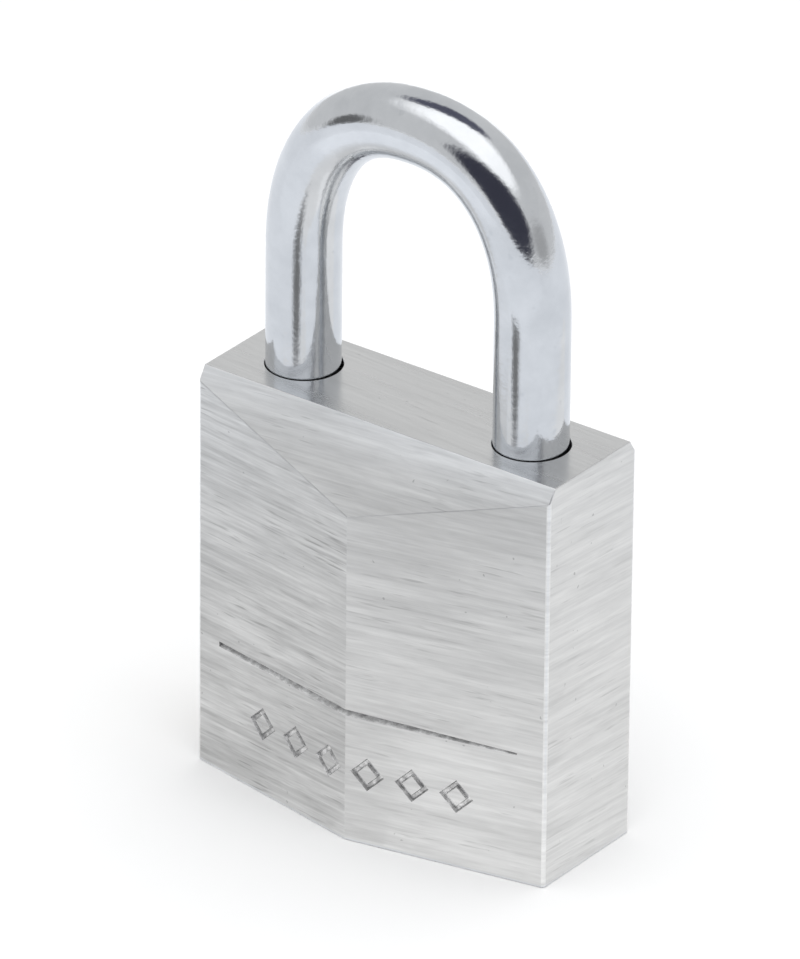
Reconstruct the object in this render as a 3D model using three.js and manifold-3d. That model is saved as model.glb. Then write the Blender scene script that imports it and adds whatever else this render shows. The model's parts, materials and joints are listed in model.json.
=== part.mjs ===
// Padlock with a solid aluminium body, a plated steel shackle and a pin-tumbler cylinder.
//
// Millimetres, +Z up. The origin is the centre of the flat base. The shackle's plane is y = 0.
// +X is the heel side, where the shackle's long leg stays in the body. -X is the toe side.
// -Y is the front, the side with the engraved line and the row of lozenges.
//
// Rest pose: the shackle is down, and the cylinder is turned to its unlocked position, so both
// latches are drawn back. Turning the cylinder back by -90 degrees pushes the latches out into
// the notches of the two legs.

import * as THREE from 'three';
import { mergeVertices } from 'three/addons/utils/BufferGeometryUtils.js';
import Module from 'manifold-3d';

const wasm = await Module();
wasm.setup();

// ---------------------------------------------------------------- driving dimensions

const bodyWidth = 30;
const bodySideDepth = 10;        // front to back at the two narrow side faces
const bodyRidgeDepth = 15.8;     // front to back at the two vertical ridges
const bodyHeight = 31;
const bodyTopDepth = 8.7;        // front to back of the flat top
const ridgeTop = 25.4;           // height where the sloping shoulder meets the ridge

const barRadius = 2.65;
const legSpacing = 19.5;
const straightLeg = 9.1;         // straight part of each leg above the body
const archRise = 12.15;          // centre line of the arch above the straight parts
const archPower = 2.26;          // 2 is an ellipse, more is squarer
const shackleLift = 10.2;        // travel from closed to the stop
const legHoleRadius = 2.9;

const toeTip = 21.2;             // lower end of the short leg when closed
const toeHoleBottom = 20.7;
const heelHoleBottom = 2.2;
const heelNeckRadius = 1.4;
const heelShoulderBottom = 21.3;
const heelFootBottom = 6.3;
const notchHeight = 4.5;

const latchLevel = 25;
const latchTravel = 1.3;         // from drawn back to locked
const latchNoseRadius = 2;
const latchBoreRadius = 2.1;
const latchArmHeight = 2;        // thickness of the latch's arm along Z

const plugRadius = 4.6;
const plugBoreRadius = 4.75;
const plugBottom = 0.4;
const plugTop = 20;
const chamberTop = 27.4;         // top of the bore that holds the plug, the cam and the latches

const pinCount = 4;
const firstPinLevel = 4.3;
const pinPitch = 3.8;
const pinRadius = 1.45;
const pinHoleRadius = 1.55;
const keyPinLengths = [3.4, 2.6, 3.8, 3.0];
const driverPinLength = 3.6;

const lineLevel = 10.1;          // engraved line across the front
const lineWidth = 0.3;
const lineHalfLength = 12.85;
const lozengeCount = 6;
const lozengePitch = 3.35;
const lozengeLevel = 5.6;
const lozengeSize = 2.6;
const engravingDepth = 0.2;

// ---------------------------------------------------------------- derived sizes

const halfWidth = bodyWidth / 2;
const halfSide = bodySideDepth / 2;
const halfRidge = bodyRidgeDepth / 2;
const halfTop = bodyTopDepth / 2;
const halfSpacing = legSpacing / 2;
const facetAngle = Math.atan2(halfRidge - halfSide, halfWidth);
const noseTip = halfSpacing - legHoleRadius - 0.1;   // drawn back, clear of the leg's hole
const notchFloor = noseTip + latchTravel + 0.3;      // a locked nose stops just short of it
const pinLevels = Array.from({ length: pinCount }, (_, i) => firstPinLevel + i * pinPitch);

const springGap = 0.05;          // at each end of a coil spring
const pressedGap = 0.05;         // around a pressed-in pin or plug, and outside its end
const runningGap = 0.3;          // between pieces of the cylinder that touch in the real lock

// Distance from the y = 0 plane to the front or back facet at a given x.
function facetDepth(x) {
  return halfRidge - (halfRidge - halfSide) * Math.abs(x) / halfWidth;
}

// ---------------------------------------------------------------- materials

function metal(color, roughness) {
  return new THREE.MeshStandardMaterial({ color, roughness, metalness: 1 });
}

const finishes = {
  aluminium: () => metal(0xc6c7c4, 0.42),
  platedSteel: () => metal(0xcdd0d7, 0.16),
  brass: () => metal(0xc8a552, 0.3),
  steel: () => metal(0x9b9ea3, 0.35),
  springSteel: () => metal(0x84878c, 0.3),
};

// ---------------------------------------------------------------- solids

// Keeps only positions, merges shared corners and drops triangles with no area.
function weld(geometry) {
  const bare = geometry.clone();
  bare.deleteAttribute('normal');
  bare.deleteAttribute('uv');
  const merged = mergeVertices(bare, 1e-5);
  const corners = merged.index.array;
  const kept = [];
  for (let i = 0; i < corners.length; i += 3) {
    const [a, b, c] = [corners[i], corners[i + 1], corners[i + 2]];
    if (a !== b && b !== c && c !== a) kept.push(a, b, c);
  }
  merged.setIndex(kept);
  return merged;
}

function solid(geometry) {
  const merged = weld(geometry);
  return new wasm.Manifold(new wasm.Mesh({
    numProp: 3,
    vertProperties: new Float32Array(merged.attributes.position.array),
    triVerts: new Uint32Array(merged.index.array),
  }));
}

function join(first, ...others) {
  return others.reduce((sum, geometry) => sum.add(solid(geometry)), solid(first));
}

function cut(base, tools) {
  const start = base instanceof wasm.Manifold ? base : solid(base);
  return tools.reduce((left, geometry) => left.subtract(solid(geometry)), start);
}

function geometryOf(manifold) {
  const mesh = manifold.getMesh();
  const geometry = new THREE.BufferGeometry();
  geometry.setAttribute('position', new THREE.BufferAttribute(mesh.vertProperties, 3));
  geometry.setIndex(new THREE.BufferAttribute(mesh.triVerts, 1));
  geometry.computeVertexNormals();
  return geometry;
}

function block(low, high) {
  const size = high.map((value, i) => value - low[i]);
  const middle = high.map((value, i) => (value + low[i]) / 2);
  return new THREE.BoxGeometry(...size).translate(...middle);
}

// A round bar between two points that differ along one axis only.
function bar(radius, from, to, segments = 24) {
  const start = new THREE.Vector3(...from);
  const way = new THREE.Vector3(...to).sub(start);
  const turn = new THREE.Quaternion().setFromUnitVectors(
    new THREE.Vector3(0, 1, 0), way.clone().normalize());
  const middle = start.addScaledVector(way, 0.5);
  return new THREE.CylinderGeometry(radius, radius, way.length(), segments)
    .applyQuaternion(turn)
    .translate(middle.x, middle.y, middle.z);
}

function outline(points) {
  return new THREE.Shape(points.map(([x, y]) => new THREE.Vector2(x, y)));
}

// A plan outline (x, y) raised from one height to another.
function prism(points, bottom, top) {
  return new THREE.ExtrudeGeometry(outline(points), { depth: top - bottom, bevelEnabled: false })
    .translate(0, 0, bottom);
}

// A side outline (y, z) pushed along X.
function prismAlongX(points, from, to) {
  const basis = new THREE.Matrix4().makeBasis(
    new THREE.Vector3(0, 1, 0), new THREE.Vector3(0, 0, 1), new THREE.Vector3(1, 0, 0));
  return new THREE.ExtrudeGeometry(outline(points), { depth: to - from, bevelEnabled: false })
    .applyMatrix4(basis)
    .translate(from, 0, 0);
}

// A piece turned about Z from (radius, z) pairs, listed from bottom to top.
function turned(profile, segments = 24) {
  const points = profile.map(([radius, z]) => new THREE.Vector2(radius, z));
  return new THREE.LatheGeometry(points, segments).rotateX(Math.PI / 2);
}

// A turned pin lying along +X, from x = 0, with a chamfer at each end.
function pinAlongX(radius, length, nearChamfer, farChamfer, segments = 16) {
  return turned([
    [0, 0],
    [radius - nearChamfer, 0],
    [radius, nearChamfer],
    [radius, length - farChamfer],
    [radius - farChamfer, length],
    [0, length],
  ], segments).rotateY(Math.PI / 2);
}

class Helix extends THREE.Curve {
  constructor(radius, turns, length) {
    super();
    Object.assign(this, { radius, turns, length });
  }

  getPoint(t, target = new THREE.Vector3()) {
    const angle = 2 * Math.PI * this.turns * t;
    return target.set(
      this.radius * Math.cos(angle), this.radius * Math.sin(angle), this.length * t);
  }
}

function roundSection(radius) {
  return new THREE.Shape().absarc(0, 0, radius, 0, 2 * Math.PI, false);
}

// A coil spring standing on z = 0, of the given height over the wire.
function coilSpring({ outerRadius, wireRadius, turns, height, stepsPerTurn }) {
  const path = new Helix(outerRadius - wireRadius, turns, height - 2 * wireRadius);
  return new THREE.ExtrudeGeometry(roundSection(wireRadius), {
    extrudePath: path,
    steps: Math.round(turns * stepsPerTurn),
    curveSegments: 3,
    bevelEnabled: false,
  }).translate(0, 0, wireRadius);
}

// ---------------------------------------------------------------- the body

const bodyPlan = [
  [-halfWidth, -halfSide],
  [0, -halfRidge],
  [halfWidth, -halfSide],
  [halfWidth, halfSide],
  [0, halfRidge],
  [-halfWidth, halfSide],
];

const retainerReach = 3.2;       // how far each cross pin runs past the y = 0 plane
const shacklePin = { radius: 1, x: halfSpacing + heelNeckRadius + 1.1, level: 20 };
const plugPin = { radius: 0.8, x: 4.5, level: 18.3 };

// The wedge above the sloping shoulder. side is -1 at the front and 1 at the back.
function shoulderWedge(side) {
  const runY = halfRidge - halfTop;
  const runZ = bodyHeight - ridgeTop;
  const overshoot = 0.5;
  const upper = [side * (halfTop - overshoot * runY), bodyHeight + overshoot * runZ];
  const lower = [side * (halfRidge + overshoot * runY), ridgeTop - overshoot * runZ];
  const outer = side * bodyRidgeDepth;
  return prismAlongX(
    [upper, lower, [outer, lower[1]], [outer, upper[1]]], -bodyWidth, bodyWidth);
}

function engravedLine() {
  const outside = 1;
  const stations = [-lineHalfLength, 0, lineHalfLength];
  const outer = stations.map((x) => [x, -facetDepth(x) - outside]);
  const inner = stations.map((x) => [x, -facetDepth(x) + engravingDepth]).reverse();
  return prism([...outer, ...inner], lineLevel - lineWidth / 2, lineLevel + lineWidth / 2);
}

function engravedLozenge(index) {
  const x = (index - (lozengeCount - 1) / 2) * lozengePitch;
  const half = lozengeSize / 2;
  const outside = 1;
  const shape = outline([[-half, 0], [0, -half], [half, 0], [0, half]]);
  const depth = outside + engravingDepth;
  return new THREE.ExtrudeGeometry(shape, { depth, bevelEnabled: false })
    .rotateX(Math.PI / 2)
    .translate(0, engravingDepth, 0)
    .rotateZ(Math.sign(x) * facetAngle)
    .translate(x, -facetDepth(x), lozengeLevel);
}

function crossPinHole({ radius, x, level }) {
  const hole = radius + pressedGap;
  return bar(hole, [x, halfRidge + 1, level], [x, -retainerReach, level], 20);
}

function bodyGeometry() {
  const above = bodyHeight + 1;
  const shell = cut(prism(bodyPlan, 0, bodyHeight), [shoulderWedge(-1), shoulderWedge(1)]);
  return geometryOf(cut(shell, [
    bar(plugBoreRadius, [0, 0, -1], [0, 0, chamberTop], 48),
    bar(legHoleRadius, [halfSpacing, 0, heelHoleBottom], [halfSpacing, 0, above], 36),
    bar(legHoleRadius, [-halfSpacing, 0, toeHoleBottom], [-halfSpacing, 0, above], 36),
    bar(latchBoreRadius, [-halfWidth - 1, 0, latchLevel], [halfSpacing, 0, latchLevel]),
    ...pinLevels.map((z) => bar(pinHoleRadius, [-halfWidth - 1, 0, z], [-plugRadius + 1, 0, z])),
    crossPinHole(shacklePin),
    crossPinHole(plugPin),
    engravedLine(),
    ...Array.from({ length: lozengeCount }, (_, i) => engravedLozenge(i)),
  ]));
}

// ---------------------------------------------------------------- the shackle

class Arch extends THREE.Curve {
  getPoint(t, target = new THREE.Vector3()) {
    const angle = Math.PI * (1 - t);
    const across = Math.cos(angle);
    const up = Math.max(Math.sin(angle), 0);
    return target.set(
      halfSpacing * Math.sign(across) * Math.abs(across) ** (2 / archPower),
      0,
      bodyHeight + straightLeg + archRise * up ** (2 / archPower));
  }
}

const sweepBottom = 22;          // below this level the legs are turned shapes
const turnedTop = sweepBottom + 0.5;
const turnedRadius = barRadius - 0.01;
const stopGap = 0.1;             // left under the retaining pin at the top of the lift
const footTop = shacklePin.level - shacklePin.radius - stopGap - shackleLift;

function shackleSweep() {
  const archFoot = bodyHeight + straightLeg;
  const corner = (x, z) => new THREE.Vector3(x, 0, z);
  const path = new THREE.CurvePath();
  path.arcLengthDivisions = 600;
  path.add(new THREE.LineCurve3(corner(-halfSpacing, sweepBottom), corner(-halfSpacing, archFoot)));
  path.add(new Arch());
  path.add(new THREE.LineCurve3(corner(halfSpacing, archFoot), corner(halfSpacing, sweepBottom)));
  return new THREE.ExtrudeGeometry(roundSection(barRadius), {
    extrudePath: path,
    steps: 52,
    curveSegments: 11,
    bevelEnabled: false,
  });
}

function toeTipShape() {
  const chamfer = 0.9;
  return turned([
    [0, toeTip],
    [turnedRadius - chamfer, toeTip],
    [turnedRadius, toeTip + chamfer],
    [turnedRadius, turnedTop],
    [0, turnedTop],
  ]).translate(-halfSpacing, 0, 0);
}

function heelShape() {
  const chamfer = 0.4;
  return turned([
    [0, heelFootBottom],
    [turnedRadius - chamfer, heelFootBottom],
    [turnedRadius, heelFootBottom + chamfer],
    [turnedRadius, footTop - chamfer],
    [turnedRadius - chamfer, footTop],
    [heelNeckRadius, footTop],
    [heelNeckRadius, heelShoulderBottom],
    [turnedRadius - chamfer, heelShoulderBottom],
    [turnedRadius, heelShoulderBottom + chamfer],
    [turnedRadius, turnedTop],
    [0, turnedTop],
  ]).translate(halfSpacing, 0, 0);
}

// side is -1 for the toe and 1 for the heel. Both notches open towards the middle.
function latchNotch(side) {
  const outside = 1;
  const floor = side * notchFloor;
  const open = side * (halfSpacing - barRadius - outside);
  const half = notchHeight / 2;
  return block(
    [Math.min(floor, open), -barRadius - outside, latchLevel - half],
    [Math.max(floor, open), barRadius + outside, latchLevel + half]);
}

function shackleGeometry() {
  const whole = join(shackleSweep(), toeTipShape(), heelShape());
  return geometryOf(cut(whole, [latchNotch(-1), latchNotch(1)]));
}

const heelSpring = {
  outerRadius: 2.45,
  wireRadius: 0.3,
  turns: 5,
  height: heelFootBottom - heelHoleBottom - 2 * springGap,
  stepsPerTurn: 12,
};

// ---------------------------------------------------------------- the latches

const noseStart = 3.65;
const hook = { inner: 2.65, outer: 3.3, reach: 0.9 };
const arm = { inner: 2.55, outer: 3.15 };
const latchSpringPocket = { radius: 1.15, depth: 2.1 };

// The heel latch: a round nose towards +X, and an arm that passes the cam and ends in a hook
// on the cam's far side. The toe latch is the same piece turned by half a turn about Z.
function latchGeometry() {
  const armPlan = [
    [-hook.outer, -hook.reach],
    [-hook.inner, -hook.reach],
    [-hook.inner, arm.inner],
    [1.6, arm.inner],
    [2.0, 1.75],
    [2.3, 1.25],
    [noseStart, 1.25],
    [noseStart, -1],
    [noseStart + 1, -1],
    [noseStart + 1, 1.6],
    [3.1, 1.7],
    [2.5, 2.3],
    [2.1, arm.outer],
    [-hook.outer, arm.outer],
  ];
  const nose = pinAlongX(latchNoseRadius, noseTip - noseStart, 0.2, 0.5, 24)
    .translate(noseStart, 0, 0);
  const whole = join(nose, prism(armPlan, -latchArmHeight / 2, latchArmHeight / 2));
  const pocketEnd = noseStart + latchSpringPocket.depth;
  return geometryOf(cut(whole, [
    bar(latchSpringPocket.radius, [noseStart - 1, 0, 0], [pocketEnd, 0, 0], 16),
  ]));
}

const latchSpring = {
  outerRadius: 1,
  wireRadius: 0.14,
  turns: 5,
  height: noseStart + latchSpringPocket.depth - hook.outer - 2 * springGap,
  stepsPerTurn: 8,
};

// ---------------------------------------------------------------- the cylinder

const tang = { halfLength: 2.6, halfWidth: 0.9, height: 1 };
const plugGroove = { floor: 3.6, halfWidth: 0.95 };
const keywayTop = 17;

// Keyway outline in plan, seen with the pins towards -X.
const keywayPlan = [
  [-3.2, -0.7],
  [-0.9, -0.7],
  [-0.5, -0.15],
  [0.5, -0.15],
  [0.9, -0.7],
  [2.9, -0.7],
  [2.9, 0.2],
  [2.2, 0.7],
  [0.9, 0.7],
  [-0.9, 0.7],
  [-1.4, 0.25],
  [-2.0, 0.25],
  [-2.4, 0.7],
  [-3.2, 0.7],
];

function plugGeometry() {
  const chamfer = 0.3;
  const { floor, halfWidth: grooveHalf } = plugGroove;
  const barrel = turned([
    [0, plugBottom],
    [plugRadius - chamfer, plugBottom],
    [plugRadius, plugBottom + chamfer],
    [plugRadius, plugPin.level - grooveHalf],
    [floor, plugPin.level - grooveHalf],
    [floor, plugPin.level + grooveHalf],
    [plugRadius, plugPin.level + grooveHalf],
    [plugRadius, plugTop],
    [0, plugTop],
  ], 48);
  const tangBlock = block(
    [-tang.halfLength, -tang.halfWidth, plugTop - 0.5],
    [tang.halfLength, tang.halfWidth, plugTop + tang.height]);
  const chamberEnd = -0.4;
  return geometryOf(cut(join(barrel, tangBlock), [
    prism(keywayPlan, plugBottom - 1, keywayTop),
    ...pinLevels.map((z) => bar(pinHoleRadius, [-plugRadius - 1, 0, z], [chamberEnd, 0, z], 20)),
  ]));
}

const cam = {
  bottom: plugTop + runningGap,
  discTop: 22,
  top: 27,
  discRadius: 4.45,
  bladeHalfWidth: 0.95,
  bladeHalfLength: 2.3,
};

// The cam's disc sits on the plug's tang. Its blade stands between the two latch hooks.
function camGeometry() {
  const { bladeHalfWidth, bladeHalfLength } = cam;
  const centre = bladeHalfLength - bladeHalfWidth;
  const root = 0.3;              // how far the blade runs into the disc
  const blade = new THREE.Shape()
    .absarc(0, -centre, bladeHalfWidth, Math.PI, 2 * Math.PI, false)
    .absarc(0, centre, bladeHalfWidth, 0, Math.PI, false);
  const bladeSolid = new THREE.ExtrudeGeometry(blade, {
    depth: cam.top - cam.discTop + root,
    curveSegments: 12,
    bevelEnabled: false,
  }).translate(0, 0, cam.discTop - root);
  const disc = bar(cam.discRadius, [0, 0, cam.bottom], [0, 0, cam.discTop], 36);
  const slot = block(
    [-tang.halfLength - runningGap, -tang.halfWidth - runningGap, cam.bottom - 1],
    [tang.halfLength + runningGap, tang.halfWidth + runningGap,
      plugTop + tang.height + runningGap]);
  return geometryOf(cut(join(disc, bladeSolid), [slot]));
}

// A key pin lies along +X with its outer end at x = 0 and its pointed tip at x = length.
function keyPinGeometry(length) {
  const domeEdge = 0.3;
  const tipLength = 1;
  const tipRadius = 0.35;
  return turned([
    [0, 0],
    [pinRadius - domeEdge, 0],
    [pinRadius, domeEdge],
    [pinRadius, length - tipLength],
    [tipRadius, length],
    [0, length],
  ], 20).rotateY(Math.PI / 2);
}

// ---------------------------------------------------------------- the assembly

const padlock = new THREE.Group();

function place(parent, name, geometry, material, position = [0, 0, 0]) {
  const mesh = new THREE.Mesh(geometry, material);
  mesh.name = name;
  mesh.position.set(...position);
  parent.add(mesh);
  return mesh;
}

place(padlock, 'body', bodyGeometry(), finishes.aluminium());

// The shackle, its spring and the pin that keeps its heel in the body.
place(padlock, 'shackle', shackleGeometry(), finishes.platedSteel());
place(padlock, 'shackle_spring', coilSpring(heelSpring), finishes.springSteel(),
  [halfSpacing, 0, heelHoleBottom + springGap]);

// Each cross pin is pressed in from the back, and its outer end stays just under the facet.
const crossPins = { shackle_retaining_pin: shacklePin, plug_retaining_pin: plugPin };
for (const [name, { radius, x, level }] of Object.entries(crossPins)) {
  const chamfer = 0.2;
  const outerEnd = facetDepth(x + radius) - 2 * pressedGap;
  const length = outerEnd + retainerReach - 4 * pressedGap;
  const pin = place(padlock, name, pinAlongX(radius, length, chamfer, chamfer),
    finishes.steel(), [x, outerEnd, level]);
  pin.rotation.z = -Math.PI / 2;
}

// The two latches and the springs that push them apart.
for (const [side, turn] of [['heel', 0], ['toe', Math.PI]]) {
  const group = new THREE.Group();
  group.position.z = latchLevel;
  group.rotation.z = turn;
  padlock.add(group);
  place(group, `${side}_latch`, latchGeometry(), finishes.steel());
  const spring = place(group, `${side}_latch_spring`, coilSpring(latchSpring),
    finishes.springSteel(), [hook.outer + springGap, 0, 0]);
  spring.rotation.y = Math.PI / 2;
}

const borePlug = { radius: latchBoreRadius - 2 * pressedGap, length: 2, chamfer: 0.2 };
place(padlock, 'latch_bore_plug',
  pinAlongX(borePlug.radius, borePlug.length, borePlug.chamfer, borePlug.chamfer, 24),
  finishes.aluminium(), [-halfWidth + pressedGap, 0, latchLevel]);

// The turning cylinder, shown turned by a quarter from its locked position.
const cylinder = new THREE.Group();
cylinder.rotation.z = Math.PI / 2;
padlock.add(cylinder);
place(cylinder, 'cylinder_plug', plugGeometry(), finishes.brass());
place(cylinder, 'locking_cam', camGeometry(), finishes.steel());

// Four pin stacks, from the cylinder out to the side face.
const driverInnerEnd = plugRadius + 0.1;
const driverChamfer = 0.25;
const keyPinInset = 0.15;        // of a key pin's outer end, inside the cylinder's surface
const chamberPlug = { radius: pinHoleRadius - pressedGap, length: 1.6, chamfer: 0.15 };
const chamberPlugInner = halfWidth - pressedGap - chamberPlug.length;
const pinSpring = {
  outerRadius: 1.25,
  wireRadius: 0.16,
  turns: 6,
  height: chamberPlugInner - driverInnerEnd - driverPinLength - 2 * springGap,
  stepsPerTurn: 8,
};
pinLevels.forEach((z, i) => {
  const number = i + 1;
  place(cylinder, `key_pin_${number}`, keyPinGeometry(keyPinLengths[i]), finishes.brass(),
    [-plugRadius + keyPinInset, 0, z]);
  place(padlock, `driver_pin_${number}`,
    pinAlongX(pinRadius, driverPinLength, driverChamfer, driverChamfer),
    finishes.brass(), [-driverInnerEnd - driverPinLength, 0, z]);
  const spring = place(padlock, `pin_spring_${number}`, coilSpring(pinSpring),
    finishes.springSteel(), [-chamberPlugInner + springGap, 0, z]);
  spring.rotation.y = Math.PI / 2;
  place(padlock, `chamber_plug_${number}`,
    pinAlongX(chamberPlug.radius, chamberPlug.length, chamberPlug.chamfer, chamberPlug.chamfer),
    finishes.brass(), [-halfWidth + pressedGap, 0, z]);
});

export default padlock;
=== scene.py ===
"""The look of a small aluminium padlock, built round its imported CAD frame. Blender 4.5, metres.

The base's centre is the origin, +Z is up, the shackle's plane is y = 0 and the front faces -Y.
Every CAD node is replaced by a finer piece. Sizes come from the nodes' boxes and vertices, and
from the few driving sizes below, which the frame doesn't give.
"""

import json
import math

import bmesh
import bpy
import numpy as np
from mathutils import Matrix, Vector


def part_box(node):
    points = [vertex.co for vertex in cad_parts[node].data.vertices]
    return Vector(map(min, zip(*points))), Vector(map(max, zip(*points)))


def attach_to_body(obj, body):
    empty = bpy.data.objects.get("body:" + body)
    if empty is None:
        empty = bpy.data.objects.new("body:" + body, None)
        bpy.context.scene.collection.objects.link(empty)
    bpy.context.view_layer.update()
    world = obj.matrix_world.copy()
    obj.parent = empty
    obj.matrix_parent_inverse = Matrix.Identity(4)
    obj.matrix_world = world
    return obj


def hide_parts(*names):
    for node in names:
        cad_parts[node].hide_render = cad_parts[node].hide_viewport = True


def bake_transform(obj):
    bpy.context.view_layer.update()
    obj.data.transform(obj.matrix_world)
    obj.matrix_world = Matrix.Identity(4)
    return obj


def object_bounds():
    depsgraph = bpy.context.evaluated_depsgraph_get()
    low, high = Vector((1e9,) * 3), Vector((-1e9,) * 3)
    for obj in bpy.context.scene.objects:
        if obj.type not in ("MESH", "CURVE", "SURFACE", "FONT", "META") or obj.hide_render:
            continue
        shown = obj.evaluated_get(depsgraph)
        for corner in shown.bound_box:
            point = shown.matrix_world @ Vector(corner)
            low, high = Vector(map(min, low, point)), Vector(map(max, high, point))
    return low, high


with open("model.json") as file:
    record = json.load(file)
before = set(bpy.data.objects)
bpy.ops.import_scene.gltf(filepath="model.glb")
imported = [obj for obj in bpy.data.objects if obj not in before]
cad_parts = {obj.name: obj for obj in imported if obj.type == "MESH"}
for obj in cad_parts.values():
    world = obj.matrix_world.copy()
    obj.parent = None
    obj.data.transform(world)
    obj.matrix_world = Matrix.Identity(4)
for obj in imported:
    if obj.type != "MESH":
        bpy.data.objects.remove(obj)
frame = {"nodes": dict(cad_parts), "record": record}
cad_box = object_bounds()

MM = 0.001
X, Y, Z = Vector((1, 0, 0)), Vector((0, 1, 0)), Vector((0, 0, 1))

# ------------ driving sizes, millimetres

STRAIGHT_LEG = 9.1            # straight part of each leg above the body
ARCH_POWER = 2.26             # 2 is an ellipse, more is squarer
LEG_HOLE_RADIUS = 2.75
LEG_HOLE_OFFSET = 0.06        # towards the heel: the shackle stands to one side of its holes
TOE_HOLE_BOTTOM = 20.7
HEEL_HOLE_BOTTOM = 2.2
HEEL_NECK_RADIUS = 1.4
HEEL_FOOT_TOP = 8.7
HEEL_SHOULDER = 21.3          # lower end of the heel leg's full width
NOTCH_DEPTH = 1.25
NOTCH_HEIGHT = 4.5

CHAMBER_TOP = 27.4            # top of the bore that holds the plug, the cam and the latches
PLUG_BORE_RADIUS = 4.75
PLUG_TOP = 20
PIN_HOLE_RADIUS = 1.55
LATCH_BORE_RADIUS = 2.1
PRESSED_GAP = 0.05

LINE_LEVEL = 10.1             # the engraved line across the front
LINE_HALF_LENGTH = 12.85
LINE_DEPTHS = (0.36, 0.46, 0.16)   # at its left end, on the ridge, at its right end
LINE_SPREAD = 0.55            # half the line's width, as a share of its depth
LOZENGE_COUNT = 6
LOZENGE_PITCH = 3.35
LOZENGE_LEVEL = 5.6
LOZENGE_HALF = 1.3
LOZENGE_DEPTH = 0.24
LOZENGE_STROKE = 0.56

PIN_SPRING = (0.16, 6)        # each spring's wire radius, and its turns
LATCH_SPRING = (0.14, 5)
SHACKLE_SPRING = (0.3, 5)

SIDE_BEVEL = 0.22             # on the four vertical edges of the narrow sides
BASE_BEVEL = 0.15
TOP_BEVEL = 0.1
FOLD_BEVEL = 0.06             # on the ridges and round the shoulders
BEVEL_DEPTH = 0.13            # how far under an outer face a bevel's metal can lie
RIDGE_HALF = 0.2              # half the width in which a point can belong to the ridge

FILLET_STEPS = 4
BODY_BEVEL_SEGMENTS = 4
SMALL_BEVEL_SEGMENTS = 3
POINT_RADIUS = 1e-6           # a ring of a smaller radius is a single point


# ------------ meshes

def new_piece(name, mesh):
    piece = bpy.data.objects.new(name, mesh)
    bpy.context.scene.collection.objects.link(piece)
    return piece


def skin(name, rings, lengths=None):
    """A closed mesh over rings of equally many points; a ring of one point closes an end.

    With lengths, the distance of each ring along the piece, it gets a UV map in millimetres:
    u runs along the piece and v round it.
    """
    mesh = bpy.data.meshes.new(name)
    sides = max(len(ring) for ring in rings)
    starts = np.cumsum([0] + [len(ring) for ring in rings])
    corners, uvs = [], []
    for i in range(len(rings) - 1):
        for k in range(sides):
            quad = [(i, k), (i, k + 1), (i + 1, k + 1), (i + 1, k)]
            face, face_uvs = [], []
            for ring, side in quad:
                index = int(starts[ring] + side % len(rings[ring]))
                if index not in face:
                    face.append(index)
                    face_uvs.append((ring, side / sides))
            if len(face) > 2:
                corners.append(face)
                uvs.append(face_uvs)
    for ring, step in ((0, -1), (len(rings) - 1, 1)):
        if len(rings[ring]) > 1:
            face = [int(starts[ring] + k) for k in range(sides)]
            corners.append(face[::step])
            uvs.append([(ring, 0)] * sides)
    mesh.from_pydata([tuple(p) for ring in rings for p in ring], [], corners)
    if lengths is not None:
        layer = mesh.uv_layers.new(name="along")
        round_length = (Vector(rings[1][0]) - Vector(rings[1][sides // 2])).length * math.pi
        flat = [(lengths[ring] / MM, turn * round_length / MM) for f in uvs for ring, turn in f]
        layer.data.foreach_set("uv", np.array(flat, np.float32).ravel())
    mesh.update()
    return new_piece(name, mesh)


def rounded(corners):
    """Points of an outline through (x, y, fillet radius) corners, open at both ends."""
    points = []
    for i, (x, y, fillet) in enumerate(corners):
        here = Vector((x, y))
        if not fillet:
            points.append(here)
            continue
        back = (Vector(corners[i - 1][:2]) - here).normalized()
        ahead = (Vector(corners[i + 1][:2]) - here).normalized()
        half = back.angle(ahead) / 2
        centre = here + (back + ahead).normalized() * fillet / math.sin(half)
        first = here + back * fillet / math.tan(half) - centre
        last = here + ahead * fillet / math.tan(half) - centre
        for k in range(FILLET_STEPS + 1):
            between = first.lerp(last, k / FILLET_STEPS)
            points.append(centre + between.normalized() * fillet)
    return points


def turns_round(sides, radius):
    """The angles of a ring's points, or one angle where the ring is a point."""
    return [2 * math.pi * k / sides for k in range(sides)] if radius > POINT_RADIUS else [0]


def lathe(name, profile, sides, place=None):
    """A piece turned about local +Z from (radius, height, fillet) corners in millimetres."""
    place = place or Matrix.Identity(4)
    rings = []
    for radius, height in rounded(profile):
        ring = [Vector((radius * math.cos(a), radius * math.sin(a), height))
                for a in turns_round(sides, radius)]
        rings.append([place @ (p * MM) for p in ring])
    return skin(name, rings)


def tube(name, stations, sides, with_uv=False):
    """A round bar through (centre, tangent, normal, radius) stations, in metres."""
    rings, lengths = [], []
    for i, (centre, tangent, normal, radius) in enumerate(stations):
        across = tangent.cross(normal).normalized()
        rings.append([centre + (normal * math.cos(a) + across * math.sin(a)) * radius
                      for a in turns_round(sides, radius / MM)])
        step = (centre - stations[i - 1][0]).length + abs(radius - stations[i - 1][3])
        lengths.append(lengths[-1] + step if lengths else 0.0)
    return skin(name, rings, lengths if with_uv else None)


def prism(name, outline, low, high, place=None):
    """An (x, y) outline in millimetres, raised along local +Z."""
    place = place or Matrix.Identity(4)
    rings = [[place @ (Vector((x, y, z)) * MM) for x, y in outline] for z in (low, high)]
    return skin(name, rings)


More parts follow.
